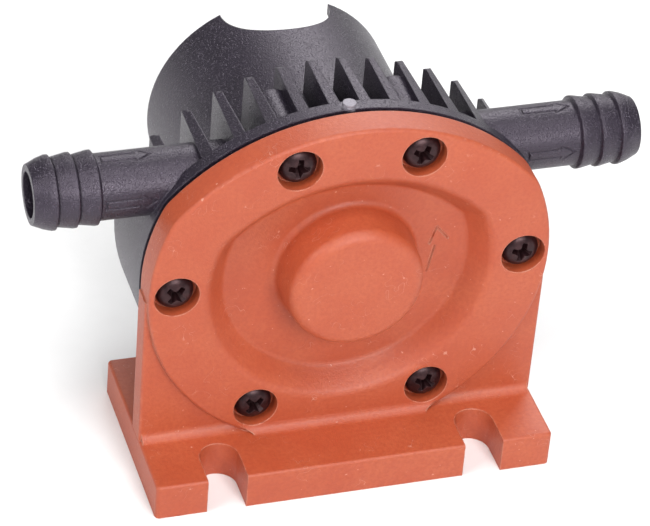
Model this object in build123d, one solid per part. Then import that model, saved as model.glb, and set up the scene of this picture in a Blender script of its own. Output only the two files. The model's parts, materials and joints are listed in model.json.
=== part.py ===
from build123d import *
from math import atan, cos, degrees, radians, sin, sqrt
import os

# A hose pump that an electric drill turns. Sizes are millimetres. +Z is up, +Y runs from the cover
# back along the shaft to the drill, +X is the flow direction. The origin is on the underside of the
# foot, below the shaft, in the plane of the cover's front face.

# ---- shaft line and foot -----------------------------------------------------------------------
face_to_floor = 3.0
foot_side_margin = 0.3
foot_thickness = 8.2
foot_front = 13.8
foot_rear_inset = 0.2
foot_corner = 1.0
foot_edge = 0.6
foot_blend = 2.2
slot_offset = 27.9
slot_width = 8.4
slot_depth = 11.4

# ---- cover -------------------------------------------------------------------------------------
face_radius = 42.8
face_crown_flatness = 7.9
face_crown_drop = 6.3
face_shoulder = 9.0
face_proud = 1.7
cover_thickness = 6.8
cover_edge = 0.8
plate_side_edge = 0.6
plate_top_drop = 1.5
dish_margin = 12.4
dish_depth = 5.0
dish_slope = 4.2
dish_floor_round = 1.6
dish_rim_round = 2.6
boss_base_radius = 15.0
boss_top_radius = 14.2
boss_proud = 4.8
boss_edge = 2.6
boss_foot_round = 1.4
boss_end_wall = 3.0
turn_mark_stem_start = (17.9, -4.8)
turn_mark_stem_end = (19.1, 1.9)
turn_mark_tip = (19.2, 6.7)
turn_mark_barbs = ((17.9, 2.3), (22.0, 3.2))

# ---- cover screws ------------------------------------------------------------------------------
top_screw_offset = 13.0
top_screw_margin = 7.9
side_screw_margin = 5.8
side_screw_lift = 0.6
low_screw_margin = 6.4
low_screw_angle = -59.1
screw_head_radius = 4.0
screw_head_height = 2.9
screw_head_flat = 0.6
screw_shank_radius = 2.0
screw_length = 16.0
screw_cross_width = 1.05
screw_cross_length = 4.5
screw_cross_depth = 1.7
screw_point_chamfer = 0.8
screw_hole_spare = 0.5
screw_hole_clearance = 0.25
counterbore_radius = 4.75
counterbore_depth = 3.2
screw_boss_wall = 2.3
screw_boss_end = 3.8

# ---- gasket ------------------------------------------------------------------------------------
gasket_thickness = 1.2
gasket_inset = 1.1
gasket_hole_margin = 0.4

# ---- housing -----------------------------------------------------------------------------------
flange_thickness = 3.0
barrel_seat_margin = 0.5
foot_gap = 0.4
gate_radius = 1.4
gate_height = 0.7
gate_offset = 0.6
body_depth = 29.4
skirt_wall = 2.4
skirt_top_drop = 3.5
fin_count = 12
fin_pitch = 6.45
fin_tip_thickness = 1.4
fin_tip_edge = 0.5
fin_root_thickness = 2.5
fin_fall = 1.0
fin_tip_round = 2.2
core_wall = 5.0
hood_wall = 2.3
hood_end = 64.0
hood_notch_radius = 12.0
hub_boss_wall = 3.6

# ---- hose tails --------------------------------------------------------------------------------
tail_drop = 3.44
tail_front_wall = 3.2
tail_reach = 64.4
tail_radius = 6.85
tail_bore_radius = 4.75
tail_tip_radius = 6.9
tail_tip_length = 2.2
barb_radius = 7.7
barb_count = 3
barb_pitch = 4.35
barb_start = 51.2
barb_rise = 0.5
barb_land = 0.6
barb_valley_lift = 0.25
tail_tip_lift = 0.3
tail_tip_chamfer = 0.7
tail_overlap = 2.0
flow_mark_start = 39.2
flow_mark_length = 10.9
flow_mark_head = 3.9
flow_mark_half_width = 1.15
flow_mark_head_half_width = 2.4
flow_mark_count = 4
mark_width = 0.45
mark_depth = 0.25

# ---- chamber -----------------------------------------------------------------------------------
chamber_radius = 22.0
chamber_depth = 12.2
cam_rise = 3.7
port_inner_end = 8.6
back_wall = 3.4

# ---- wear plates -------------------------------------------------------------------------------
wear_plate_thickness = 0.8
wear_plate_clearance = 0.1
wear_plate_hole_gap = 0.7

# ---- shaft and bushes --------------------------------------------------------------------------
shaft_radius = 4.0
shaft_end_gap = 0.4
shaft_inset = 6.0
shaft_chamfer = 0.8
drive_end_relief = 0.25
drive_end_gap = 0.6
running_clearance = 0.03
bush_wall = 2.0
bush_recess = 0.8
front_bush_inset = 0.2
rear_bush_length = 8.6
hub_bore_clearance = 1.0

# ---- shaft seal --------------------------------------------------------------------------------
seal_section = 5.0
seal_width = 6.0
seal_case_wall = 0.7
seal_lip_clearance = 0.06
seal_lip_setback = 0.4
seal_lip_web = 1.2
seal_lip_skin = 0.9
seal_groove_front = 0.7
seal_groove_depth = 1.9
seal_contact_setback = 2.0
seal_ring_setback = 0.6
seal_ring_thickness = 1.0
seal_ring_depth = 0.6
seal_spring_wire = 0.55
seal_spring_setback = 1.5
seal_flange_depth = 2.6
seal_ring_bore_depth = 1.3
seal_ring_gap = 3.2
seal_shoulder = 1.4

# ---- impeller ----------------------------------------------------------------------------------
impeller_face_gap = 0.15
impeller_core_wall = 3.0
vane_count = 6
vane_thickness = 2.2
vane_tip_radius = 1.7
vane_tip_gap = 0.2
vane_bend = 5.2
vane_mid_share = 0.28
vane_lean = 0.35
vane_root_overlap = 1.0
hub_wall = 4.0
hub_end_gap = 1.2
pin_radius = 1.25
pin_end_gap = 0.5
washer_width = 2.8
washer_clearance = 0.1
washer_thickness = 0.5
clip_thickness = 0.7
clip_depth = 0.5
clip_width = 2.0
clip_mouth = 4.4
slinger_width = 5.5
slinger_thickness = 2.2
slinger_gap = 0.6
slinger_collar = 2.0
slinger_front_step = 0.5
slinger_rim_step = 0.4
slinger_rim_back = 0.3

# ---- places that follow from the sizes above ---------------------------------------------------
axis_height = face_radius + face_to_floor
face_crown_radius = face_radius + face_crown_flatness
face_crown_height = face_radius - face_crown_drop
face_crown_centre = face_crown_height - face_crown_radius
foot_half_width = face_radius + foot_side_margin
foot_top = foot_thickness - axis_height
foot_rear = body_depth - foot_rear_inset
gasket_back = cover_thickness + gasket_thickness
flange_back = gasket_back + flange_thickness
front_plate_back = cover_thickness + wear_plate_thickness
chamber_end = gasket_back + chamber_depth
cam_height = chamber_radius - cam_rise
hood_radius = chamber_radius + core_wall
tail_height = chamber_radius - tail_drop
tail_depth = gasket_back + tail_front_wall + tail_bore_radius
rear_plate_front = chamber_end - wear_plate_thickness
impeller_front = front_plate_back + impeller_face_gap
impeller_back = rear_plate_front - impeller_face_gap
impeller_hub_front = impeller_front + hub_end_gap
impeller_hub_back = impeller_back - hub_end_gap
bush_radius = shaft_radius + bush_wall
bush_pocket_front = boss_end_wall - boss_proud
shaft_front = bush_pocket_front + shaft_end_gap
shaft_end = hood_end - shaft_inset
front_bush_front = bush_pocket_front + bush_recess
front_bush_back = cover_thickness - front_bush_inset
seal_radius = shaft_radius + seal_section
hub_radius = shaft_radius + hub_wall
impeller_core_radius = hub_radius + impeller_core_wall
washer_radius = shaft_radius + washer_width
clip_radius = shaft_radius + clip_width
slinger_radius = shaft_radius + slinger_width
hub_boss_radius = seal_radius + hub_boss_wall
seal_ring_front = chamber_end + seal_ring_setback
seal_front = seal_ring_front + seal_ring_thickness
seal_back = seal_front + seal_width
rear_bush_front = seal_back + seal_shoulder
rear_bush_back = rear_bush_front + rear_bush_length
hub_boss_end = rear_bush_back + bush_recess
rear_washer_front = hub_boss_end + washer_clearance
rear_clip_front = rear_washer_front + washer_thickness
slinger_front = rear_clip_front + clip_thickness + slinger_gap
drive_end_start = slinger_front + slinger_thickness + drive_end_gap
cut_margin = 5.0
tiny = 0.001


def at_axis(shape):
    """Lift a shape drawn about the shaft line to its height above the foot."""
    return Pos(0, 0, axis_height) * shape


def plane_at(depth):
    """Plane across the shaft: its X is the part's X, its Y is the part's Z."""
    return Plane(origin=(0, depth, 0), x_dir=(1, 0, 0), z_dir=(0, -1, 0))


def slab(outline, front, back):
    """Solid of a flat outline between two depths along the shaft."""
    return extrude(plane_at(back) * outline, back - front)


def rod(radius, front, back, x=0.0, z=0.0):
    """Round bar along the shaft direction."""
    return slab(Pos(x, z) * Circle(radius), front, back)


def ring(outer, inner, front, back):
    """Round sleeve about the shaft line."""
    return rod(outer, front, back) - rod(inner, front - cut_margin, back + cut_margin)


def turned(points):
    """Solid of revolution about the shaft from (radius, depth) corners."""
    profile = make_face(Polyline(*points, close=True))
    return revolve(Plane.XY * profile, Axis.Y)


def block(x_low, x_high, y_low, y_high, z_low, z_high):
    """Box between two corners."""
    size = Box(x_high - x_low, y_high - y_low, z_high - z_low)
    return Pos((x_low + x_high) / 2, (y_low + y_high) / 2, (z_low + z_high) / 2) * size


def face_outline(inset=0.0):
    """Round face with a flatter crown, drawn about the shaft line, its corners as tangent arcs."""
    big = face_radius - inset
    crown = face_crown_radius - inset
    small = max(face_shoulder - inset, 0.5)
    low = face_crown_centre
    centre_z = ((big - small) ** 2 - (crown - small) ** 2 + low ** 2) / (2 * low)
    centre_x = sqrt((big - small) ** 2 - centre_z ** 2)
    centre = Vector(centre_x, centre_z)
    side_end = centre * (big / (big - small))
    crown_end = Vector(0, low) + (centre - Vector(0, low)) * (crown / (crown - small))
    outward = (side_end + crown_end) * 0.5 - centre
    middle = centre + outward.normalized() * small
    crown_top = (0, low + crown)
    lower = ThreePointArc(mirrored(side_end), (0, -big), side_end)
    right = ThreePointArc(side_end, middle, crown_end)
    upper = ThreePointArc(crown_end, crown_top, mirrored(crown_end))
    left = ThreePointArc(mirrored(crown_end), mirrored(middle), mirrored(side_end))
    return make_face([lower, right, upper, left])


def mirrored(point):
    """The same point on the other side of the middle."""
    return Vector(-point.X, point.Y)


def housing_outline(inset=0.0):
    """Face outline with a straight lower edge that stands just above the foot."""
    reach = 2 * face_radius
    low = foot_top + foot_gap + inset
    return face_outline(inset) & Pos(0, low + reach / 2) * Rectangle(2 * reach, reach)


def screw_points():
    """The six screw places about the shaft line."""
    low_reach = face_radius - low_screw_margin
    low_turn = radians(low_screw_angle)
    places = ((top_screw_offset, face_crown_height - top_screw_margin),
              (face_radius - side_screw_margin, side_screw_lift),
              (low_reach * cos(low_turn), low_reach * sin(low_turn)))
    return [(side * x, z) for x, z in places for side in (-1, 1)]


# ---- cover and foot ----------------------------------------------------------------------------
def make_front_cover():
    disc = slab(face_outline(), 0, cover_thickness)
    front_rim = disc.faces().sort_by(Axis.Y)[0].outer_wire().edges()
    disc = fillet(front_rim, cover_edge)
    plate = block(-foot_half_width, foot_half_width, face_proud, cover_thickness, foot_top,
                  -plate_top_drop)
    side_edges = plate.faces().sort_by(Axis.Y)[0].edges().filter_by(Axis.Z)
    plate = fillet(side_edges, plate_side_edge)
    foot = block(-foot_half_width, foot_half_width, -foot_front, foot_rear, -axis_height, foot_top)
    foot = fillet(foot.edges().filter_by(Axis.Z), foot_corner)
    foot = fillet(foot.faces().sort_by(Axis.Z)[-1].edges(), foot_edge)
    body = disc + plate + foot + blend_above_foot(face_proud, foot_half_width - plate_side_edge)
    within_disc = rod(face_radius - cover_edge, -foot_front, cover_thickness)
    body += blend_above_foot(0, face_radius) & within_disc

    floor = plane_at(dish_depth) * face_outline(dish_margin + dish_slope)
    dish = extrude(floor, dish_depth, taper=-degrees(atan(dish_slope / dish_depth)))
    dish = fillet(dish.faces().sort_by(Axis.Y)[-1].edges(), dish_floor_round)
    dish += slab(face_outline(dish_margin), -cut_margin, 0)
    body -= dish
    rim = [edge for edge in body.edges() if is_dish_rim(edge)]
    body = fillet(rim, dish_rim_round)

    base = (boss_base_radius, cover_thickness)
    shoulder = (boss_top_radius, -boss_proud)
    boss = turned([(0, cover_thickness), base, shoulder, (0, -boss_proud)])
    boss = fillet(boss.edges().filter_by(GeomType.CIRCLE).sort_by(Axis.Y)[0], boss_edge)
    body += boss
    foot_circle = [edge for edge in body.edges().filter_by(GeomType.CIRCLE) if is_boss_foot(edge)]
    body = fillet(foot_circle, boss_foot_round)

    body -= turn_mark()
    body -= rod(bush_radius, bush_pocket_front, cover_thickness + cut_margin)
    for x, z in screw_points():
        hole_radius = screw_shank_radius + screw_hole_clearance
        body -= rod(hole_radius, -cut_margin, cover_thickness + cut_margin, x, z)
        body -= rod(counterbore_radius, -cut_margin, counterbore_depth, x, z)

    inner = slot_depth - slot_width / 2
    for side in (-1, 1):
        centre = side * slot_offset
        notch = block(centre - slot_width / 2, centre + slot_width / 2, -foot_front - cut_margin,
                      -foot_front + inner, -axis_height - 1, foot_top + 1)
        round_end = Pos(centre, -foot_front + inner, foot_top - foot_thickness / 2)
        notch += round_end * Cylinder(slot_width / 2, foot_thickness + 2)
        body -= notch
    return at_axis(body)


def blend_above_foot(front, half_width):
    """Hollow fillet between the top of the foot and an upright face at that depth."""
    bar = block(-half_width, half_width, front - foot_blend, front + foot_blend,
                foot_top - foot_blend, foot_top + foot_blend)
    hollow = Rot(0, 90, 0) * Cylinder(foot_blend, 2 * half_width + cut_margin)
    return bar - Pos(0, front - foot_blend, foot_top + foot_blend) * hollow


def is_dish_rim(edge):
    """True for the edges in which the dish meets the cover's front face."""
    box = edge.bounding_box()
    flat = max(abs(box.min.Y), abs(box.max.Y)) < tiny
    reach = max(abs(box.min.X), abs(box.max.X), abs(box.min.Z), abs(box.max.Z))
    return flat and reach < face_radius - dish_margin / 2


def is_boss_foot(edge):
    """True for the circle in which the boss meets the floor of the dish."""
    centre = edge.arc_center
    return abs(centre.X) < tiny and abs(centre.Z) < tiny and abs(centre.Y - dish_depth) < tiny


def turn_mark():
    """Engraved arrow in the dish that shows which way the shaft turns."""
    lines = [Line(turn_mark_stem_start, turn_mark_stem_end)]
    for barb in turn_mark_barbs:
        lines.append(Line(turn_mark_tip, barb))
    strokes = trace(lines[0], mark_width) + trace(lines[1], mark_width) + trace(lines[2], mark_width)
    return slab(strokes, 0, dish_depth + mark_depth)


# ---- gasket ------------------------------------------------------------------------------------
def make_cover_gasket():
    sheet = slab(housing_outline(gasket_inset), cover_thickness, gasket_back)
    sheet -= rod(chamber_radius + gasket_hole_margin, 0, gasket_back + cut_margin)
    for x, z in screw_points():
        sheet -= rod(screw_shank_radius + screw_hole_clearance, 0, gasket_back + cut_margin, x, z)
    return at_axis(sheet)


# ---- housing -----------------------------------------------------------------------------------
def tail_profile():
    """Half section of a hose tail: barrel, barbs and tip, in reach along X and radius."""
    root = port_inner_end - tail_overlap
    corners = [(root, 0), (root, tail_radius)]
    for number in range(barb_count):
        start = barb_start + number * barb_pitch
        last = number == barb_count - 1
        corners.append((start - barb_rise, tail_radius))
        corners.append((start, barb_radius))
        corners.append((start + barb_land, barb_radius))
        if not last:
            valley = start + barb_pitch - barb_rise
            corners.append((valley, tail_radius + barb_valley_lift))
    corners.append((tail_reach - tail_tip_length, tail_tip_radius + tail_tip_lift))
    corners.append((tail_reach, tail_tip_radius - tail_tip_chamfer))
    corners.append((tail_reach, 0))
    return corners


def make_tail(side):
    profile = make_face(Polyline(*tail_profile(), close=True))
    barrel = revolve(Plane.XY * profile, Axis.X)
    if side < 0:
        barrel = barrel.mirror(Plane.YZ)
    return Pos(0, tail_depth, tail_height) * barrel


def flow_mark(side, angle):
    """Engraved outline of an arrow along a hose tail, pointing in the flow direction."""
    length = flow_mark_length
    neck = length - flow_mark_head
    half = flow_mark_half_width
    barb = flow_mark_head_half_width
    corners = [(0, -half), (neck, -half), (neck, -barb), (length, 0),
               (neck, barb), (neck, half), (0, half)]
    arrow = make_face(Polyline(*corners, close=True))
    line = arrow - offset(arrow, -mark_width, kind=Kind.INTERSECTION)
    start = flow_mark_start if side > 0 else -flow_mark_start - length
    groove = extrude(Pos(start, 0, tail_radius - mark_depth) * line, 3 * mark_depth)
    return Pos(0, tail_depth, tail_height) * Rot(angle, 0, 0) * groove


def make_tail_bore(side):
    length = tail_reach - port_inner_end + cut_margin
    bore = Rot(0, 90, 0) * Cylinder(tail_bore_radius, length)
    return Pos(side * (port_inner_end + length / 2), tail_depth, tail_height) * bore


def make_fins():
    """Upright plates that fill the outline from crown to foot, thinner towards the back."""
    reach = face_crown_height + face_radius
    fins = []
    for number in range(fin_count):
        x = (number - (fin_count - 1) / 2) * fin_pitch
        half_root = fin_root_thickness / 2
        half_tip = fin_tip_thickness / 2
        corners = [(x - half_root, gasket_back), (x + half_root, gasket_back),
                   (x + half_tip, body_depth), (x - half_tip, body_depth)]
        plan = make_face(Polyline(*corners, close=True))
        plan = fillet(plan.vertices().group_by(Axis.Y)[-1], fin_tip_edge)
        plate = extrude(Pos(0, 0, -face_radius) * plan, reach)
        fins.append(plate)
    front = plane_at(gasket_back) * housing_outline()
    back = plane_at(body_depth) * housing_outline(fin_fall)
    envelope = loft([back, front])
    group = [plate & envelope for plate in fins]
    return group


def fin_tip_cutters():
    """Rounds the rear upper corner of every fin."""
    cutters = []
    for number in range(fin_count):
        x = (number - (fin_count - 1) / 2) * fin_pitch
        lift = fin_fall + fin_tip_round
        top = sqrt(face_crown_radius ** 2 - x ** 2) + face_crown_centre - lift
        corner = block(x - fin_root_thickness, x + fin_root_thickness,
                       body_depth - fin_tip_round, body_depth + cut_margin, top, top + 3 * lift)
        keep = Pos(x, body_depth - fin_tip_round, top)
        keep *= Rot(0, 90, 0) * Cylinder(fin_tip_round, 3 * fin_root_thickness)
        cutters.append(corner - keep)
    return cutters


def gate_stub():
    """Cut-off gate of the moulding on top of the flange."""
    top = face_crown_height + gate_height
    middle = gasket_back + flange_thickness / 2
    return Pos(-gate_offset, middle, top - gate_radius) * Cylinder(gate_radius, 2 * gate_radius)


def hood_notches():
    """Round scallops in the hood's rear rim, cut straight through it from top to bottom."""
    return Pos(0, hood_end, 0) * Cylinder(hood_notch_radius, 2 * (hood_radius + cut_margin))


def make_pump_housing():
    outline = housing_outline()
    flange = slab(outline, gasket_back, flange_back)
    skirt = slab(outline, gasket_back, body_depth) - slab(housing_outline(skirt_wall), 0, hood_end)
    skirt_top = tail_height - skirt_top_drop
    skirt &= block(-face_radius, face_radius, 0, hood_end, -face_radius, skirt_top)
    body = flange + skirt
    body += rod(hood_radius, gasket_back, hood_end)
    for plate in make_fins():
        body += plate
    for cutter in fin_tip_cutters():
        body -= cutter
    for x, z in screw_points():
        boss_radius = screw_shank_radius + screw_boss_wall
        body += rod(boss_radius, gasket_back, screw_depth() + screw_boss_end, x, z)
    body += gate_stub()
    for side in (-1, 1):
        body += make_tail(side)
    body -= slab(face_outline(-barrel_seat_margin), -cut_margin, gasket_back)

    body -= chamber_space()
    body -= slab(Circle(hood_radius - hood_wall), chamber_end + back_wall, hood_end + cut_margin)
    body += rod(hub_boss_radius, chamber_end, hub_boss_end)
    body -= rod(seal_radius, chamber_end - 1, seal_back)
    body -= rod(seal_radius + seal_ring_depth, seal_ring_front, seal_front)
    body -= rod(shaft_radius + hub_bore_clearance, chamber_end, hub_boss_end + cut_margin)
    body -= rod(bush_radius, rear_bush_front, hub_boss_end + cut_margin)
    for side in (-1, 1):
        body -= make_tail_bore(side)
    for x, z in screw_points():
        body -= rod(screw_shank_radius, 0, screw_depth() + screw_hole_spare, x, z)
    body -= hood_notches()
    for side in (-1, 1):
        for number in range(flow_mark_count):
            body -= flow_mark(side, number * 360 / flow_mark_count)
    return at_axis(body)


def screw_depth():
    """Depth that the screws' ends reach."""
    return counterbore_depth + screw_length


def chamber_space(gap=0.0, front=0.0, back=chamber_end):
    """Round impeller chamber whose top is a flat cam."""
    reach = 2 * chamber_radius
    flat = Pos(0, cam_height - gap - reach / 2) * Rectangle(2 * reach, reach)
    return slab(Circle(chamber_radius - gap) & flat, front, back)


# ---- screws ------------------------------------------------------------------------------------
def make_cover_screws():
    screws = []
    seat = counterbore_depth
    dome = seat - screw_head_height
    rise = screw_head_height - screw_head_flat
    dome_radius = (screw_head_radius ** 2 + rise ** 2) / (2 * rise)
    for x, z in screw_points():
        head = rod(screw_head_radius, dome, seat, x, z)
        ball = Pos(x, dome + dome_radius, z) * Sphere(dome_radius)
        head &= ball
        shank = rod(screw_shank_radius, seat, screw_depth(), x, z)
        point = shank.faces().sort_by(Axis.Y)[-1].edges()
        shank = chamfer(point, screw_point_chamfer)
        wide = Rectangle(screw_cross_length, screw_cross_width)
        tall = Rectangle(screw_cross_width, screw_cross_length)
        narrow = Rectangle(screw_cross_width, screw_cross_width)
        mouth = plane_at(dome) * Pos(x, z)
        bottom = plane_at(dome + screw_cross_depth) * Pos(x, z) * narrow
        socket = loft([bottom, mouth * wide]) + loft([bottom, mouth * tall])
        turn = Pos(x, 0, z) * Rot(0, screw_turn(x, z), 0) * Pos(-x, 0, -z)
        screw = head + shank - turn * socket
        screws.append(at_axis(screw.solid()))
    return Compound(children=screws)


def screw_turn(x, z):
    """Each screw stops at its own angle."""
    return (x * 11 + z * 7) % 90


# ---- wear plates -------------------------------------------------------------------------------
def make_wear_plate(front):
    plate = chamber_space(wear_plate_clearance, front, front + wear_plate_thickness)
    plate -= rod(shaft_radius + wear_plate_hole_gap, front - 1, front + wear_plate_thickness + 1)
    return at_axis(plate)


# ---- bushes ------------------------------------------------------------------------------------
def make_bush(front, back):
    return at_axis(ring(bush_radius, shaft_radius + running_clearance, front, back))


# ---- shaft seal --------------------------------------------------------------------------------
def make_seal_case():
    inner = seal_radius - seal_case_wall
    cup = ring(seal_radius, inner, seal_front, seal_back)
    cup += ring(inner, seal_radius - seal_flange_depth, seal_back - seal_case_wall, seal_back)
    return at_axis(cup)


def make_seal_lip():
    outer = seal_radius - seal_case_wall
    bore = shaft_radius + seal_lip_clearance
    front = seal_front + seal_lip_setback
    back = seal_back - seal_case_wall
    web = back - seal_lip_web
    groove = seal_front + seal_groove_front
    groove_end = groove + seal_groove_depth - 0.2
    corners = [(outer, front), (outer, back), (bore + 1.8, back), (bore + 1.8, web),
               (bore + 0.9, web - 0.4), (bore, seal_front + seal_contact_setback),
               (bore + 0.7, groove), (bore + seal_groove_depth, groove),
               (bore + seal_groove_depth, groove_end), (bore + 2.3, web - 0.6),
               (outer - seal_lip_skin, web - 0.6), (outer - seal_lip_skin, front)]
    return at_axis(turned(corners))


def make_seal_spring():
    bore = shaft_radius + seal_lip_clearance
    path_radius = bore + seal_groove_depth + seal_spring_wire
    place = Pos(0, seal_front + seal_spring_setback, 0)
    spring = place * Rot(90, 0, 0) * Torus(path_radius, seal_spring_wire)
    return at_axis(spring)


def make_seal_ring():
    outer = seal_radius + seal_ring_depth
    hoop = ring(outer, seal_radius - seal_ring_bore_depth, seal_ring_front, seal_front)
    gap = block(-seal_ring_gap / 2, seal_ring_gap / 2, 0, hood_end, -outer - 1, 0)
    return at_axis(hoop - gap)


# ---- rotor -------------------------------------------------------------------------------------
def clip_fronts():
    """Front faces of the shaft's three retaining clips."""
    behind_washer = impeller_front + washer_thickness
    return (behind_washer, impeller_hub_back, rear_clip_front)


def pin_depth():
    """Depth of the cross pin, half way along the hub."""
    return (impeller_hub_front + impeller_hub_back) / 2


def cross_pin():
    pin_length = 2 * (hub_radius - pin_end_gap)
    return Pos(0, pin_depth(), 0) * Rot(0, 90, 0) * Cylinder(pin_radius, pin_length)


def make_drive_shaft():
    shaft = rod(shaft_radius, shaft_front, drive_end_start)
    shaft += rod(shaft_radius - drive_end_relief, drive_end_start, shaft_end)
    ends = shaft.faces().sort_by(Axis.Y)
    shaft = chamfer(ends[0].edges() + ends[-1].edges(), shaft_chamfer)
    for front in clip_fronts():
        groove = ring(shaft_radius + 1, shaft_radius - clip_depth, front, front + clip_thickness)
        shaft -= groove
    return at_axis(shaft - cross_pin())


def make_clips():
    clips = []
    for front in clip_fronts():
        clip = ring(clip_radius, shaft_radius - clip_depth, front, front + clip_thickness)
        mouth = block(-clip_mouth / 2, clip_mouth / 2, front - 1, front + clip_thickness + 1,
                      -clip_radius - 1, 0)
        clips.append(at_axis((clip - mouth).solid()))
    return Compound(children=clips)


def make_washer(front):
    bore = shaft_radius + washer_clearance
    return at_axis(ring(washer_radius, bore, front, front + washer_thickness))


def make_impeller_hub():
    hub = ring(hub_radius, shaft_radius, impeller_hub_front, impeller_hub_back)
    return at_axis(hub - cross_pin())


def vane(turn):
    """Straight flexible vane with a round tip that runs close to the chamber wall."""
    tip = chamber_radius - vane_tip_gap - vane_tip_radius
    root = impeller_core_radius - vane_root_overlap
    blade = Pos((root + tip) / 2, 0) * Rectangle(tip - root, vane_thickness)
    shape = blade + Pos(tip, 0) * Circle(vane_tip_radius)
    return Rot(0, 0, turn) * shape


def bent_vane():
    """The vane under the cam, with its tip trailing."""
    tip_z = cam_height - vane_tip_gap - vane_tip_radius
    foot_point = (0, impeller_core_radius - vane_root_overlap)
    middle = (vane_bend * vane_mid_share, (impeller_core_radius + tip_z) / 2)
    tip = (vane_bend, tip_z)
    line = Spline(foot_point, middle, tip, tangents=((0, 1), (1, vane_lean)))
    blade = trace(line, vane_thickness)
    return blade + Pos(*tip) * Circle(vane_tip_radius)


def make_impeller():
    shape = Circle(impeller_core_radius)
    for number in range(1, vane_count):
        shape += vane(90 + number * 360 / vane_count)
    shape += bent_vane()
    wheel = slab(shape, impeller_front, impeller_back)
    wheel -= rod(hub_radius, impeller_front - 1, impeller_back + 1)
    return at_axis(wheel)


def make_slinger():
    collar = shaft_radius + slinger_collar
    front = slinger_front
    step = front + slinger_front_step
    back = front + slinger_thickness
    corners = [(shaft_radius, front), (collar, front), (collar, step),
               (slinger_radius, step + slinger_rim_step),
               (slinger_radius, back - slinger_rim_back), (collar, back), (shaft_radius, back)]
    return at_axis(turned(corners))


# ---- write every node --------------------------------------------------------------------------
def main():
    nodes = {
        "front_cover": make_front_cover(),
        "cover_gasket": make_cover_gasket(),
        "pump_housing": make_pump_housing(),
        "cover_screws": make_cover_screws(),
        "front_wear_plate": make_wear_plate(cover_thickness),
        "rear_wear_plate": make_wear_plate(rear_plate_front),
        "front_bush": make_bush(front_bush_front, front_bush_back),
        "rear_bush": make_bush(rear_bush_front, rear_bush_back),
        "seal_case": make_seal_case(),
        "seal_lip": make_seal_lip(),
        "seal_spring": make_seal_spring(),
        "seal_ring": make_seal_ring(),
        "drive_shaft": make_drive_shaft(),
        "shaft_clips": make_clips(),
        "front_thrust_washer": make_washer(impeller_front),
        "rear_thrust_washer": make_washer(rear_washer_front),
        "impeller_hub": make_impeller_hub(),
        "drive_pin": at_axis(cross_pin()),
        "impeller": make_impeller(),
        "slinger": make_slinger(),
    }
    os.makedirs("parts", exist_ok=True)
    for name, shape in nodes.items():
        export_step(shape, f"parts/{name}.step")
        print(name, round(shape.volume, 1))


main()
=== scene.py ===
"""Hose pump for an electric drill: orange cover with a bench foot, black finned housing."""

import json
import math

import bmesh
import bpy
from mathutils import Matrix, Vector


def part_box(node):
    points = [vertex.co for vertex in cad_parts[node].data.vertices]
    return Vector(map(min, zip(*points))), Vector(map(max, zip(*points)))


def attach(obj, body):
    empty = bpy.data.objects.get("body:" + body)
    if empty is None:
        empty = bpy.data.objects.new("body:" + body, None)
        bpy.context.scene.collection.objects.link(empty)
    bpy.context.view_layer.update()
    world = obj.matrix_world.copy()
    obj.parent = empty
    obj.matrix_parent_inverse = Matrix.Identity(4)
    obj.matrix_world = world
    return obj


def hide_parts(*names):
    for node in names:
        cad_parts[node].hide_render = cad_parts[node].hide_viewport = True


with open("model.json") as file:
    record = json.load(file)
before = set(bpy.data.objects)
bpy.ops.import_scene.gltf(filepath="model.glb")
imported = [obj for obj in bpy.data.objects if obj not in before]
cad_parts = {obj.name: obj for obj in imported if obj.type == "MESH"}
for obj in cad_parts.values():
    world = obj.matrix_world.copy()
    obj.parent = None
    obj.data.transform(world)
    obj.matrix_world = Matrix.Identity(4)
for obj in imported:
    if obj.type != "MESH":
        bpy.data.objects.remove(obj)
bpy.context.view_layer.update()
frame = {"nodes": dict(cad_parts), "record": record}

MM = 0.001

# ---- places and sizes, in metres ---------------------------------------------------------------
AXIS_HEIGHT = 45.8 * MM
GATE_PLACE = (-0.6 * MM, 9.50 * MM, 82.9 * MM)

SCREW_SEAT = 3.2 * MM
SCREW_HEAD_RADIUS = 4.0 * MM
SCREW_HEAD_HEIGHT = 2.9 * MM
SCREW_HEAD_FLAT = 0.6 * MM
SCREW_HEAD_EDGE = 0.15 * MM
SCREW_DOME_FULLNESS = 0.8
SCREW_DOME_STEPS = 12
SCREW_ROUND_STEPS = 56
SCREW_SHANK_RADIUS = 2.0 * MM
SCREW_LENGTH = 16.0 * MM
SCREW_POINT = 0.8 * MM
SCREW_TURNS = (8, 26, 40, 14, 44, 24)
RECESS_REACH = 2.65 * MM
RECESS_HALF_WIDTH = 0.66 * MM
RECESS_ROOT = (1.18 * MM, 0.76 * MM)
RECESS_HOLLOW = 0.90 * MM
RECESS_DEPTH = 2.3 * MM
RECESS_LEAD = 0.2 * MM
RECESS_TAPER = 0.35

SPRING_WIRE_RADIUS = 0.22 * MM
SPRING_TURNS = 72
SPRING_STEPS_PER_TURN = 8
SPRING_WIRE_SIDES = 6

WELD_REACH = 0.002 * MM
LATHE_WELD_REACH = 0.0005 * MM
SHELL_CREASE = 32
SCREW_CREASE = 34
SPRING_CREASE = 80


# ---- material maths ------------------------------------------------------------------------------
class Amount:
    """A number that a node tree works out; arithmetic on it adds Math nodes."""

    def __init__(self, tree, socket):
        self.tree = tree
        self.socket = socket

    def __add__(self, other):
        return self.tree.maths("ADD", self, other)

    def __radd__(self, other):
        return self.tree.maths("ADD", other, self)

    def __sub__(self, other):
        return self.tree.maths("SUBTRACT", self, other)

    def __rsub__(self, other):
        return self.tree.maths("SUBTRACT", other, self)

    def __mul__(self, other):
        return self.tree.maths("MULTIPLY", self, other)

    def __rmul__(self, other):
        return self.tree.maths("MULTIPLY", other, self)

    def __truediv__(self, other):
        return self.tree.maths("DIVIDE", self, other)

    def __rtruediv__(self, other):
        return self.tree.maths("DIVIDE", other, self)

    def __pow__(self, other):
        return self.tree.maths("POWER", self, other)


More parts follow.
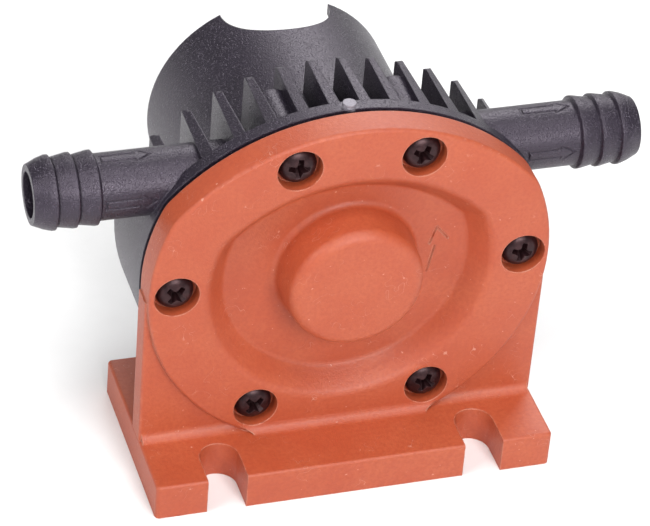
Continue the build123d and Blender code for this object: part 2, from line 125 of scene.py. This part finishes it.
class Tree:
    """A node tree that is written as Python."""

    def __init__(self, group):
        self.nodes = group.nodes
        self.links = group.links

    def feed(self, socket, value):
        """Joins a socket to another one, or sets its number."""
        if isinstance(value, Amount):
            value = value.socket
        if isinstance(value, bpy.types.NodeSocket):
            self.links.new(value, socket)
        else:
            socket.default_value = value

    def node(self, kind, settings=None, sockets=None):
        """Any node: its settings first, then the values or links of its sockets."""
        made = self.nodes.new(kind)
        for key, value in (settings or {}).items():
            setattr(made, key, value)
        for key, value in (sockets or {}).items():
            self.feed(made.inputs[key], value)
        return made

    def maths(self, operation, first, second):
        made = self.node("ShaderNodeMath", {"operation": operation}, {0: first, 1: second})
        return Amount(self, made.outputs[0])

    def wave(self, operation, angle):
        """Sine or cosine of an angle in radians."""
        return self.maths(operation, angle, 0.0)


class Finish(Tree):
    """One material, built around its Principled shader."""

    def __init__(self, name):
        self.material = bpy.data.materials.new(name)
        self.material.use_nodes = True
        super().__init__(self.material.node_tree)
        self.shader = self.nodes["Principled BSDF"]
        self.place = self.node("ShaderNodeTexCoord").outputs["Object"]

    def noise(self, size, detail=2.0):
        """Soft random field from 0 to 1 whose spots are about that size, in metres."""
        made = self.node("ShaderNodeTexNoise", None, {"Vector": self.place, "Scale": 1 / size,
                                                      "Detail": detail, "Roughness": 0.55})
        return Amount(self, made.outputs[0])

    def hairs(self, size, width):
        """1 on thin wandering lines, the level lines of a soft field."""
        away = self.maths("ABSOLUTE", self.noise(size, 1.0) - 0.5, 0.0)
        return 1 - self.between(away, 0.5 * width, width)

    def near(self, point, inner, outer, ragged):
        """1 round a point and 0 away from it, with a ragged border."""
        made = self.node("ShaderNodeVectorMath", {"operation": "DISTANCE"},
                         {0: self.place, 1: point})
        away = Amount(self, made.outputs["Value"]) + (ragged - 0.5) * (outer - inner)
        return 1 - self.between(away, inner, outer)

    def between(self, value, low, high):
        """0 below low, 1 above high, and a soft step from one to the other."""
        made = self.node("ShaderNodeMapRange", {"interpolation_type": "SMOOTHSTEP"},
                         {"Value": value, "From Min": low, "From Max": high})
        return Amount(self, made.outputs["Result"])

    def tint(self, share, first, second):
        """Colour that goes from first to second with share."""
        made = self.node("ShaderNodeMix", {"data_type": "RGBA"}, {"Factor": share})
        for socket, colour in ((made.inputs[6], first), (made.inputs[7], second)):
            linked = isinstance(colour, bpy.types.NodeSocket)
            self.feed(socket, colour if linked else (*colour, 1.0))
        return made.outputs[2]

    def rounded(self, radius):
        """Normal of the surface as if its edges had a small radius."""
        made = self.node("ShaderNodeBevel", {"samples": 4}, {"Radius": radius})
        return made.outputs[0]

    def edges(self, soft_normal):
        """1 on sharp edges and 0 on open surfaces."""
        flat = self.node("ShaderNodeNewGeometry").outputs["Normal"]
        made = self.node("ShaderNodeVectorMath", {"operation": "DOT_PRODUCT"},
                         {0: soft_normal, 1: flat})
        return 1 - Amount(self, made.outputs["Value"])

    def bumps(self, height, depth, strength, normal):
        """Small relief of that depth, in metres, where height is 1."""
        made = self.node("ShaderNodeBump", None, {"Height": height, "Distance": depth,
                                                  "Strength": strength, "Normal": normal})
        return made.outputs[0]

    def coat(self, colour, roughness, metallic=0.0, normal=None, specular=0.5):
        """Joins what was worked out to the shader."""
        self.feed(self.shader.inputs["Base Color"], colour)
        self.feed(self.shader.inputs["Roughness"], roughness)
        self.shader.inputs["Metallic"].default_value = metallic
        self.shader.inputs["Specular IOR Level"].default_value = specular
        if normal is not None:
            self.feed(self.shader.inputs["Normal"], normal)
        return self.material


def orange_plastic():
    """Satin moulding: cloudy, finely grained, paler on its edges partly from rubbing and partly as
    a painted highlight, with hair scratches.
    """
    plain, sunned = (0.415, 0.070, 0.023), (0.448, 0.092, 0.034)
    # The rubbed edge colour is paler partly from wear and partly as a painted highlight along the
    # edges.
    deep, rubbed_and_highlit, scuffed = (0.365, 0.056, 0.020), (0.70, 0.34, 0.24), (0.80, 0.46, 0.36)
    finish = Finish("orange_plastic")
    soft = finish.rounded(0.45 * MM)
    edge_patches = finish.between(finish.noise(2.4 * MM), 0.32, 0.55)
    # Edge mask: paler edges, partly wear and partly a painted highlight on the rounded edges.
    worn_and_highlit = finish.between(finish.edges(soft), 0.02, 0.2) * edge_patches
    cloud = finish.between(finish.noise(14 * MM, 3.0), 0.3, 0.7)
    mottle = finish.between(finish.noise(0.8 * MM, 3.0), 0.3, 0.72)
    grain = finish.noise(0.34 * MM, 3.0)
    scratch = finish.hairs(3.2 * MM, 0.004) * finish.between(finish.noise(8 * MM), 0.56, 0.64)
    speck = finish.between(finish.noise(0.9 * MM, 1.0), 0.76, 0.80)
    colour = finish.tint(cloud, plain, sunned)
    colour = finish.tint(mottle * 0.65, colour, deep)
    # Paints the pale edges: partly rubbed wear, partly a painted highlight.
    colour = finish.tint(worn_and_highlit * 0.7, colour, rubbed_and_highlit)
    colour = finish.tint(scratch * 0.35 + speck * 0.4, colour, scuffed)
    rough = 0.40 + grain * 0.18 - worn_and_highlit * 0.08
    relief = grain * 0.75 + mottle * 0.25 - scratch * 0.4
    normal = finish.bumps(relief, 0.10 * MM, 0.8, soft)
    return finish.coat(colour, rough, normal=normal, specular=0.6)


def black_plastic():
    """Fibre-filled moulding with fine glints, partly painted as pale specks in its colour, and the
    pale scar of its gate on the flange.
    """
    plain, dusty = (0.0075, 0.0050, 0.0110), (0.0115, 0.0080, 0.0160)
    # The pale fibre colour is partly the plastic's fibre specks and partly painted glints.
    fibre, rubbed_and_highlit, torn = (0.046, 0.036, 0.056), (0.10, 0.092, 0.115), (0.36, 0.34, 0.38)
    finish = Finish("black_plastic")
    soft = finish.rounded(0.4 * MM)
    edge_patches = finish.between(finish.noise(2.0 * MM), 0.4, 0.65)
    worn_and_highlit = finish.between(finish.edges(soft), 0.02, 0.25) * edge_patches
    cloud = finish.between(finish.noise(11 * MM, 3.0), 0.3, 0.7)
    grain = finish.noise(0.36 * MM, 3.0)
    # Speck mask: fibre specks that also carry painted glints in the colour, and set roughness and
    # relief.
    fibres_and_glints = finish.between(finish.noise(0.40 * MM, 1.0), 0.54, 0.68)
    scar = finish.near(GATE_PLACE, 1.0 * MM, 2.2 * MM, finish.noise(0.7 * MM, 3.0))
    colour = finish.tint(cloud, plain, dusty)
    # Paints pale specks: partly fibre, partly painted glints.
    colour = finish.tint(fibres_and_glints * 0.7, colour, fibre)
    colour = finish.tint(worn_and_highlit * 0.35, colour, rubbed_and_highlit)
    colour = finish.tint(scar * 0.9, colour, torn)
    rough = 0.28 + grain * 0.22 - fibres_and_glints * 0.14 + scar * 0.3
    relief = grain * 0.6 + fibres_and_glints * 0.4
    normal = finish.bumps(relief, 0.17 * MM, 1.0, soft)
    finish.shader.inputs["Specular Tint"].default_value = (0.96, 0.85, 1.0, 1.0)
    return finish.coat(colour, rough, normal=normal, specular=0.75)


def oxide_steel():
    """Black-brown oxide on steel, bare and brighter on its edges."""
    black, brown, bare = (0.022, 0.006, 0.008), (0.044, 0.016, 0.018), (0.18, 0.12, 0.12)
    finish = Finish("oxide_steel")
    soft = finish.rounded(0.12 * MM)
    worn_and_highlit = finish.between(finish.edges(soft), 0.03, 0.3)
    patch = finish.between(finish.noise(1.1 * MM, 3.0), 0.35, 0.7)
    grain = finish.noise(0.12 * MM, 2.0)
    colour = finish.tint(patch, black, brown)
    colour = finish.tint(worn_and_highlit * 0.5, colour, bare)
    rough = 0.28 + grain * 0.18
    normal = finish.bumps(grain, 0.015 * MM, 0.6, soft)
    return finish.coat(colour, rough, metallic=0.55, normal=normal)


def dark_rubber(name, tone, grain_size):
    """Matt rubber with a little dust on it."""
    dusty = tuple(2.2 * part + 0.012 for part in tone)
    finish = Finish(name)
    soft = finish.rounded(0.15 * MM)
    grain = finish.noise(grain_size, 3.0)
    dust = finish.between(finish.noise(3.5 * MM, 4.0), 0.45, 0.75)
    colour = finish.tint(dust * 0.5, tone, dusty)
    rough = 0.62 + grain * 0.22
    normal = finish.bumps(grain, 0.04 * MM, 0.6, soft)
    return finish.coat(colour, rough, normal=normal, specular=0.35)


def turned_metal(name, tone, groove, roughness):
    """Metal with fine rings round the shaft line from the lathe."""
    dull = tuple(0.72 * part for part in tone)
    finish = Finish(name)
    soft = finish.rounded(0.12 * MM)
    centred = finish.node("ShaderNodeMapping", {"vector_type": "POINT"},
                          {"Vector": finish.place, "Location": (0, 0, -AXIS_HEIGHT)}).outputs[0]
    split = finish.node("ShaderNodeSeparateXYZ", None, {0: centred})
    along = Amount(finish, split.outputs["Y"])
    across = finish.node("ShaderNodeCombineXYZ", None,
                         {"X": split.outputs["X"], "Z": split.outputs["Z"]})
    length = finish.node("ShaderNodeVectorMath", {"operation": "LENGTH"}, {0: across.outputs[0]})
    away = Amount(finish, length.outputs["Value"])
    rings = finish.node("ShaderNodeTexNoise", {"noise_dimensions": "1D"},
                        {"W": (along + away) / groove, "Detail": 3.0})
    rings = Amount(finish, rings.outputs[0])
    stain = finish.between(finish.noise(2.5 * MM, 3.0), 0.35, 0.7)
    colour = finish.tint(stain * 0.5, tone, dull)
    colour = finish.tint(rings * 0.25, colour, dull)
    rough = roughness + rings * 0.14 + stain * 0.06
    normal = finish.bumps(rings, 0.01 * MM, 0.5, soft)
    return finish.coat(colour, rough, metallic=1.0, normal=normal)


finishes = {
    "cover_plastic": orange_plastic(),
    "housing_plastic": black_plastic(),
    "screw_steel": oxide_steel(),
    "gasket_rubber": dark_rubber("gasket_sheet", (0.030, 0.012, 0.012), 0.3 * MM),
    "seal_rubber": dark_rubber("seal_rubber", (0.020, 0.020, 0.022), 0.2 * MM),
    "impeller_rubber": dark_rubber("impeller_rubber", (0.016, 0.016, 0.017), 0.25 * MM),
    "stainless": turned_metal("ground_stainless", (0.62, 0.61, 0.60), 0.10 * MM, 0.22),
    "spring_steel": turned_metal("blued_spring_steel", (0.20, 0.20, 0.24), 0.12 * MM, 0.28),
    "shaft_steel": turned_metal("ground_shaft_steel", (0.58, 0.58, 0.59), 0.08 * MM, 0.20),
    "hub_brass": turned_metal("turned_brass", (0.72, 0.50, 0.22), 0.14 * MM, 0.24),
    "bronze": turned_metal("oiled_bronze", (0.45, 0.26, 0.11), 0.16 * MM, 0.34),
}
slot_of = {part["node"]: part["material_slot"] for part in frame["record"]["subparts"]}
bodies = frame["record"]["behaviour"]["bodies"]
body_of = {node: body for body, nodes in bodies.items() for node in nodes}


# ---- meshes --------------------------------------------------------------------------------------
def settle(piece, node):
    """Rides a new piece on its node's body, in the node's place, with the node's finish."""
    piece.data.materials.clear()
    piece.data.materials.append(finishes[slot_of[node]])
    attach(piece, body_of[node])
    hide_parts(node)


def new_piece(name, data):
    """New piece in the scene, at the origin, unturned and unscaled."""
    piece = bpy.data.objects.new(name, data)
    bpy.context.scene.collection.objects.link(piece)
    return piece


def mark_creases(mesh, angle):
    """Smooth shading with sharp edges where the surface turns by more than the angle."""
    work = bmesh.new()
    work.from_mesh(mesh)
    for face in work.faces:
        face.smooth = True
    for edge in work.edges:
        shared = len(edge.link_faces) == 2
        edge.smooth = shared and edge.calc_face_angle(0.0) < math.radians(angle)
    work.to_mesh(mesh)
    work.free()


def merged_copy(node, name):
    """Copy of a CAD node as one closed mesh with smooth curves and crisp edges."""
    mesh = frame["nodes"][node].data.copy()
    mesh.name = name
    work = bmesh.new()
    work.from_mesh(mesh)
    bmesh.ops.remove_doubles(work, verts=work.verts, dist=WELD_REACH)
    work.to_mesh(mesh)
    work.free()
    if mesh.has_custom_normals:
        mesh.attributes.remove(mesh.attributes["custom_normal"])
    mark_creases(mesh, SHELL_CREASE)
    settle(new_piece(name, mesh), node)


def islands(mesh):
    """Middle of each separate solid in a mesh, as the places of repeated pieces."""
    work = bmesh.new()
    work.from_mesh(mesh)
    bmesh.ops.remove_doubles(work, verts=work.verts, dist=WELD_REACH)
    left, middles = set(work.verts), []
    while left:
        found, queue = set(), [left.pop()]
        while queue:
            corner = queue.pop()
            found.add(corner.co.copy().freeze())
            for edge in corner.link_edges:
                other = edge.other_vert(corner)
                if other in left:
                    left.remove(other)
                    queue.append(other)
        low = [min(point[axis] for point in found) for axis in range(3)]
        high = [max(point[axis] for point in found) for axis in range(3)]
        middles.append((Vector(low) + Vector(high)) / 2)
    work.free()
    return middles


def lathe(name, profile, steps):
    """Mesh turned about the Y axis from (radius, depth) points."""
    work = bmesh.new()
    rings = []
    for step in range(steps):
        turn = 2 * math.pi * step / steps
        rings.append([work.verts.new((radius * math.cos(turn), depth, radius * math.sin(turn)))
                      for radius, depth in profile])
    for step in range(steps):
        here, there = rings[step], rings[(step + 1) % steps]
        for span in range(len(profile) - 1):
            work.faces.new((here[span], here[span + 1], there[span + 1], there[span]))
    bmesh.ops.remove_doubles(work, verts=work.verts, dist=LATHE_WELD_REACH)
    bmesh.ops.recalc_face_normals(work, faces=work.faces)
    mesh = bpy.data.meshes.new(name)
    work.to_mesh(mesh)
    work.free()
    return mesh


def tapered_prism(name, outline, back_scale, front, back):
    """Closed prism along Y whose outline shrinks towards its back end."""
    work = bmesh.new()
    near = [work.verts.new((x, front, z)) for x, z in outline]
    far = [work.verts.new((x * back_scale, back, z * back_scale)) for x, z in outline]
    work.faces.new(near)
    work.faces.new(far)
    for index in range(len(outline)):
        after = (index + 1) % len(outline)
        work.faces.new((near[index], near[after], far[after], far[index]))
    bmesh.ops.recalc_face_normals(work, faces=work.faces)
    mesh = bpy.data.meshes.new(name)
    work.to_mesh(mesh)
    work.free()
    return mesh


def plain_mesh(piece, name):
    """Mesh of a piece with its modifiers worked out."""
    graph = bpy.context.evaluated_depsgraph_get()
    mesh = bpy.data.meshes.new_from_object(piece.evaluated_get(graph))
    mesh.name = name
    return mesh


def discard(*pieces):
    """Takes helpers that are no longer needed out of the scene."""
    for piece in pieces:
        bpy.data.objects.remove(piece)


def recess_outline():
    """Cross recess of a screw head: four wings with hollow roots between them."""
    root_out, root_side = RECESS_ROOT
    quarter = [(RECESS_REACH, -RECESS_HALF_WIDTH), (RECESS_REACH, RECESS_HALF_WIDTH),
               (root_out, root_side), (RECESS_HOLLOW, RECESS_HOLLOW), (root_side, root_out)]
    outline = []
    for turn in range(4):
        cosine = round(math.cos(turn * math.pi / 2))
        sine = round(math.sin(turn * math.pi / 2))
        outline += [(x * cosine - z * sine, x * sine + z * cosine) for x, z in quarter]
    return outline


def screw_mesh():
    """Cross-head screw about the Y axis: rounded head in front of its seat, shank behind."""
    rise = SCREW_HEAD_HEIGHT - SCREW_HEAD_FLAT
    profile = [(0, -SCREW_HEAD_HEIGHT)]
    for step in range(1, SCREW_DOME_STEPS + 1):
        turn = step / SCREW_DOME_STEPS * math.pi / 2
        height = SCREW_HEAD_FLAT + rise * math.cos(turn) ** SCREW_DOME_FULLNESS
        profile.append((SCREW_HEAD_RADIUS * math.sin(turn), -height))
    profile += [(SCREW_HEAD_RADIUS, -SCREW_HEAD_EDGE), (SCREW_HEAD_RADIUS - SCREW_HEAD_EDGE, 0),
                (SCREW_SHANK_RADIUS, 0), (SCREW_SHANK_RADIUS, SCREW_LENGTH - SCREW_POINT),
                (SCREW_SHANK_RADIUS - SCREW_POINT, SCREW_LENGTH), (0, SCREW_LENGTH)]
    body = new_piece("screw_body", lathe("screw_body", profile, SCREW_ROUND_STEPS))
    recess = new_piece("screw_recess", tapered_prism("screw_recess", recess_outline(), RECESS_TAPER,
                                                     -SCREW_HEAD_HEIGHT - RECESS_LEAD,
                                                     -SCREW_HEAD_HEIGHT + RECESS_DEPTH))
    cut = body.modifiers.new("recess", "BOOLEAN")
    cut.operation = "DIFFERENCE"
    cut.solver = "EXACT"
    cut.object = recess
    mesh = plain_mesh(body, "screw")
    discard(body, recess)
    return mesh


class Growth(Tree):
    """A Geometry Nodes tree with named inputs."""

    def __init__(self, name):
        self.group = bpy.data.node_groups.new(name, "GeometryNodeTree")
        for way in ("OUTPUT", "INPUT"):
            self.group.interface.new_socket("Geometry", in_out=way,
                                            socket_type="NodeSocketGeometry")
        super().__init__(self.group)
        self.inside = self.nodes.new("NodeGroupInput")
        self.keys = {}

    def size(self, name, kind, value):
        """New named input; gives its link inside the tree."""
        socket = self.group.interface.new_socket(name, in_out="INPUT",
                                                 socket_type="NodeSocket" + kind)
        self.keys[socket.identifier] = value
        return self.inside.outputs[name]

    def result(self, piece, name, geometry, material):
        """Ends the tree, runs it on the piece and gives the plain mesh."""
        real = self.node("GeometryNodeRealizeInstances", None, {"Geometry": geometry})
        dressed = self.node("GeometryNodeSetMaterial", None,
                            {"Geometry": real.outputs[0], "Material": material})
        end = self.nodes.new("NodeGroupOutput")
        self.links.new(dressed.outputs[0], end.inputs[0])
        made = piece.modifiers.new(name, "NODES")
        made.node_group = self.group
        for key, value in self.keys.items():
            made[key] = value
        mesh = plain_mesh(piece, name)
        piece.modifiers.remove(made)
        return mesh


def cover_screws():
    """One screw set at each of the six places, each stopped at its own angle."""
    middles = islands(frame["nodes"]["cover_screws"].data)
    middles.sort(key=lambda point: (-point.z, point.x))
    places = bpy.data.meshes.new("screw_places")
    places.from_pydata([(point.x, SCREW_SEAT, point.z) for point in middles], [], [])
    turn = places.attributes.new("turn", "FLOAT", "POINT")
    for spot, angle in zip(turn.data, SCREW_TURNS):
        spot.value = math.radians(angle)
    holder = new_piece("screw_places", places)
    model = new_piece("screw_model", screw_mesh())
    growth = Growth("screws_on_places")
    screw = growth.size("Screw", "Object", model)
    source = growth.node("GeometryNodeObjectInfo", {"transform_space": "ORIGINAL"},
                         {"Object": screw})
    own_turn = growth.node("GeometryNodeInputNamedAttribute", {"data_type": "FLOAT"},
                           {"Name": "turn"})
    spin = growth.node("ShaderNodeCombineXYZ", None, {"Y": own_turn.outputs["Attribute"]})
    set_out = growth.node("GeometryNodeInstanceOnPoints", None,
                          {"Points": growth.inside.outputs["Geometry"],
                           "Instance": source.outputs["Geometry"], "Rotation": spin.outputs[0]})
    mesh = growth.result(holder, "screw_set", set_out.outputs[0], finishes["screw_steel"])
    discard(holder, model)
    mark_creases(mesh, SCREW_CREASE)
    settle(new_piece("screw_set", mesh), "cover_screws")


def garter_spring():
    """Closed coil that hugs the seal lip: a wire wound round a ring about the shaft line."""
    low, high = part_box("seal_spring")
    depth = (low.y + high.y) / 2
    coil = (high.y - low.y) / 2 - SPRING_WIRE_RADIUS
    ring = (high.x - low.x) / 2 - coil - SPRING_WIRE_RADIUS
    growth = Growth("wound_wire")
    ring_size = growth.size("Ring radius", "Float", ring)
    coil_size = growth.size("Coil radius", "Float", coil)
    turns = growth.size("Turns", "Int", SPRING_TURNS)
    wire = growth.size("Wire radius", "Float", SPRING_WIRE_RADIUS)
    steps = growth.size("Steps", "Int", SPRING_TURNS * SPRING_STEPS_PER_TURN)
    line = growth.node("GeometryNodeMeshLine", None, {"Count": steps})
    index = Amount(growth, growth.node("GeometryNodeInputIndex").outputs[0])
    round_ring = index / steps * (2 * math.pi)
    round_coil = round_ring * turns
    reach = growth.wave("COSINE", round_coil) * coil_size + ring_size
    point = growth.node("ShaderNodeCombineXYZ", None,
                        {"X": reach * growth.wave("COSINE", round_ring),
                         "Y": growth.wave("SINE", round_coil) * coil_size + depth,
                         "Z": reach * growth.wave("SINE", round_ring) + AXIS_HEIGHT})
    laid = growth.node("GeometryNodeSetPosition", None,
                       {"Geometry": line.outputs["Mesh"], "Position": point.outputs[0]})
    path = growth.node("GeometryNodeMeshToCurve", None, {"Mesh": laid.outputs[0]})
    closed = growth.node("GeometryNodeSetSplineCyclic", None,
                         {"Geometry": path.outputs[0], "Cyclic": True})
    section = growth.node("GeometryNodeCurvePrimitiveCircle", {"mode": "RADIUS"},
                          {"Resolution": SPRING_WIRE_SIDES, "Radius": wire})
    tube = growth.node("GeometryNodeCurveToMesh", None,
                       {"Curve": closed.outputs[0], "Profile Curve": section.outputs[0]})
    holder = new_piece("spring_holder", bpy.data.meshes.new("spring_holder"))
    mesh = growth.result(holder, "garter_spring", tube.outputs[0], finishes["stainless"])
    discard(holder)
    mark_creases(mesh, SPRING_CREASE)
    settle(new_piece("garter_spring", mesh), "seal_spring")


cover_screws()
garter_spring()
for node in frame["nodes"]:
    if node not in ("cover_screws", "seal_spring"):
        merged_copy(node, node + "_shell")

# ---- floor, light and camera ---------------------------------------------------------------------
FLOOR_REACH = 3.0
SURROUND_STRENGTH = 0.30
MIDDLE = Vector((0, 0.01, 0.045))
LIGHTS = (  # name, place, width and height, watts
    ("key", (0.10, -0.95, 0.62), (0.55, 0.40), 9.4),
    ("left_fill", (-0.95, -0.35, 0.75), (0.5, 0.5), 6.0),
    ("top", (0.05, -0.30, 1.10), (0.6, 0.5), 5.5),
    ("back", (0.42, 0.85, 0.72), (0.7, 0.45), 6.5),
)
CAMERA_PLACE = (-0.193959, -0.527212, 0.473459)
CAMERA_RIGHT = (0.95619082, -0.28418481, 0.07027169)
CAMERA_DOWN = (-0.11851983, -0.5952949, -0.79471821)
CAMERA_AHEAD = (0.26767922, 0.75157367, -0.60289705)
LENS_MM = 191.46
SENSOR_MM = 36.0
CLIP_START = 0.01


def lay_floor():
    """Plain pale sheet under the foot."""
    sheet = bpy.data.meshes.new("floor")
    sides = ((-1, -1), (1, -1), (1, 1), (-1, 1))
    corners = [(x * FLOOR_REACH, y * FLOOR_REACH, 0) for x, y in sides]
    sheet.from_pydata(corners, [], [(0, 1, 2, 3)])
    paper = Finish("white_paper")
    fibre = paper.noise(6 * MM, 3.0)
    colour = paper.tint(fibre, (0.86, 0.86, 0.86), (0.90, 0.90, 0.90))
    sheet.materials.append(paper.coat(colour, 0.85 + fibre * 0.1, specular=0.1))
    floor = new_piece("floor", sheet)


def soft_light(name, place, size, power):
    """Rectangular studio light aimed at the middle of the pump."""
    light = bpy.data.lights.new(name, "AREA")
    light.shape = "RECTANGLE"
    light.size, light.size_y = size
    light.energy = power
    lamp = new_piece(name, light)
    lamp.location = place
    lamp.rotation_euler = (MIDDLE - Vector(place)).to_track_quat("-Z", "Y").to_euler()


def surround():
    """Even white light from all round."""
    world = bpy.data.worlds.new("studio")
    bpy.context.scene.world = world
    world.use_nodes = True
    sky = world.node_tree.nodes["Background"]
    sky.inputs["Color"].default_value = (1.0, 1.0, 1.0, 1.0)
    sky.inputs["Strength"].default_value = SURROUND_STRENGTH


def place_camera():
    """Long lens, in front of the cover, to its left and above it."""
    lens = bpy.data.cameras.new("camera")
    lens.sensor_fit = "HORIZONTAL"
    lens.sensor_width = SENSOR_MM
    lens.lens = LENS_MM
    lens.clip_start = CLIP_START
    camera = new_piece("camera", lens)
    axes = [CAMERA_RIGHT, [-part for part in CAMERA_DOWN], [-part for part in CAMERA_AHEAD]]
    turn = Matrix(axes).transposed().to_4x4()
    camera.matrix_world = Matrix.Translation(CAMERA_PLACE) @ turn
    bpy.context.scene.camera = camera


lay_floor()
surround()
for light in LIGHTS:
    soft_light(*light)
place_camera()
bpy.context.scene.view_settings.view_transform = "Standard"
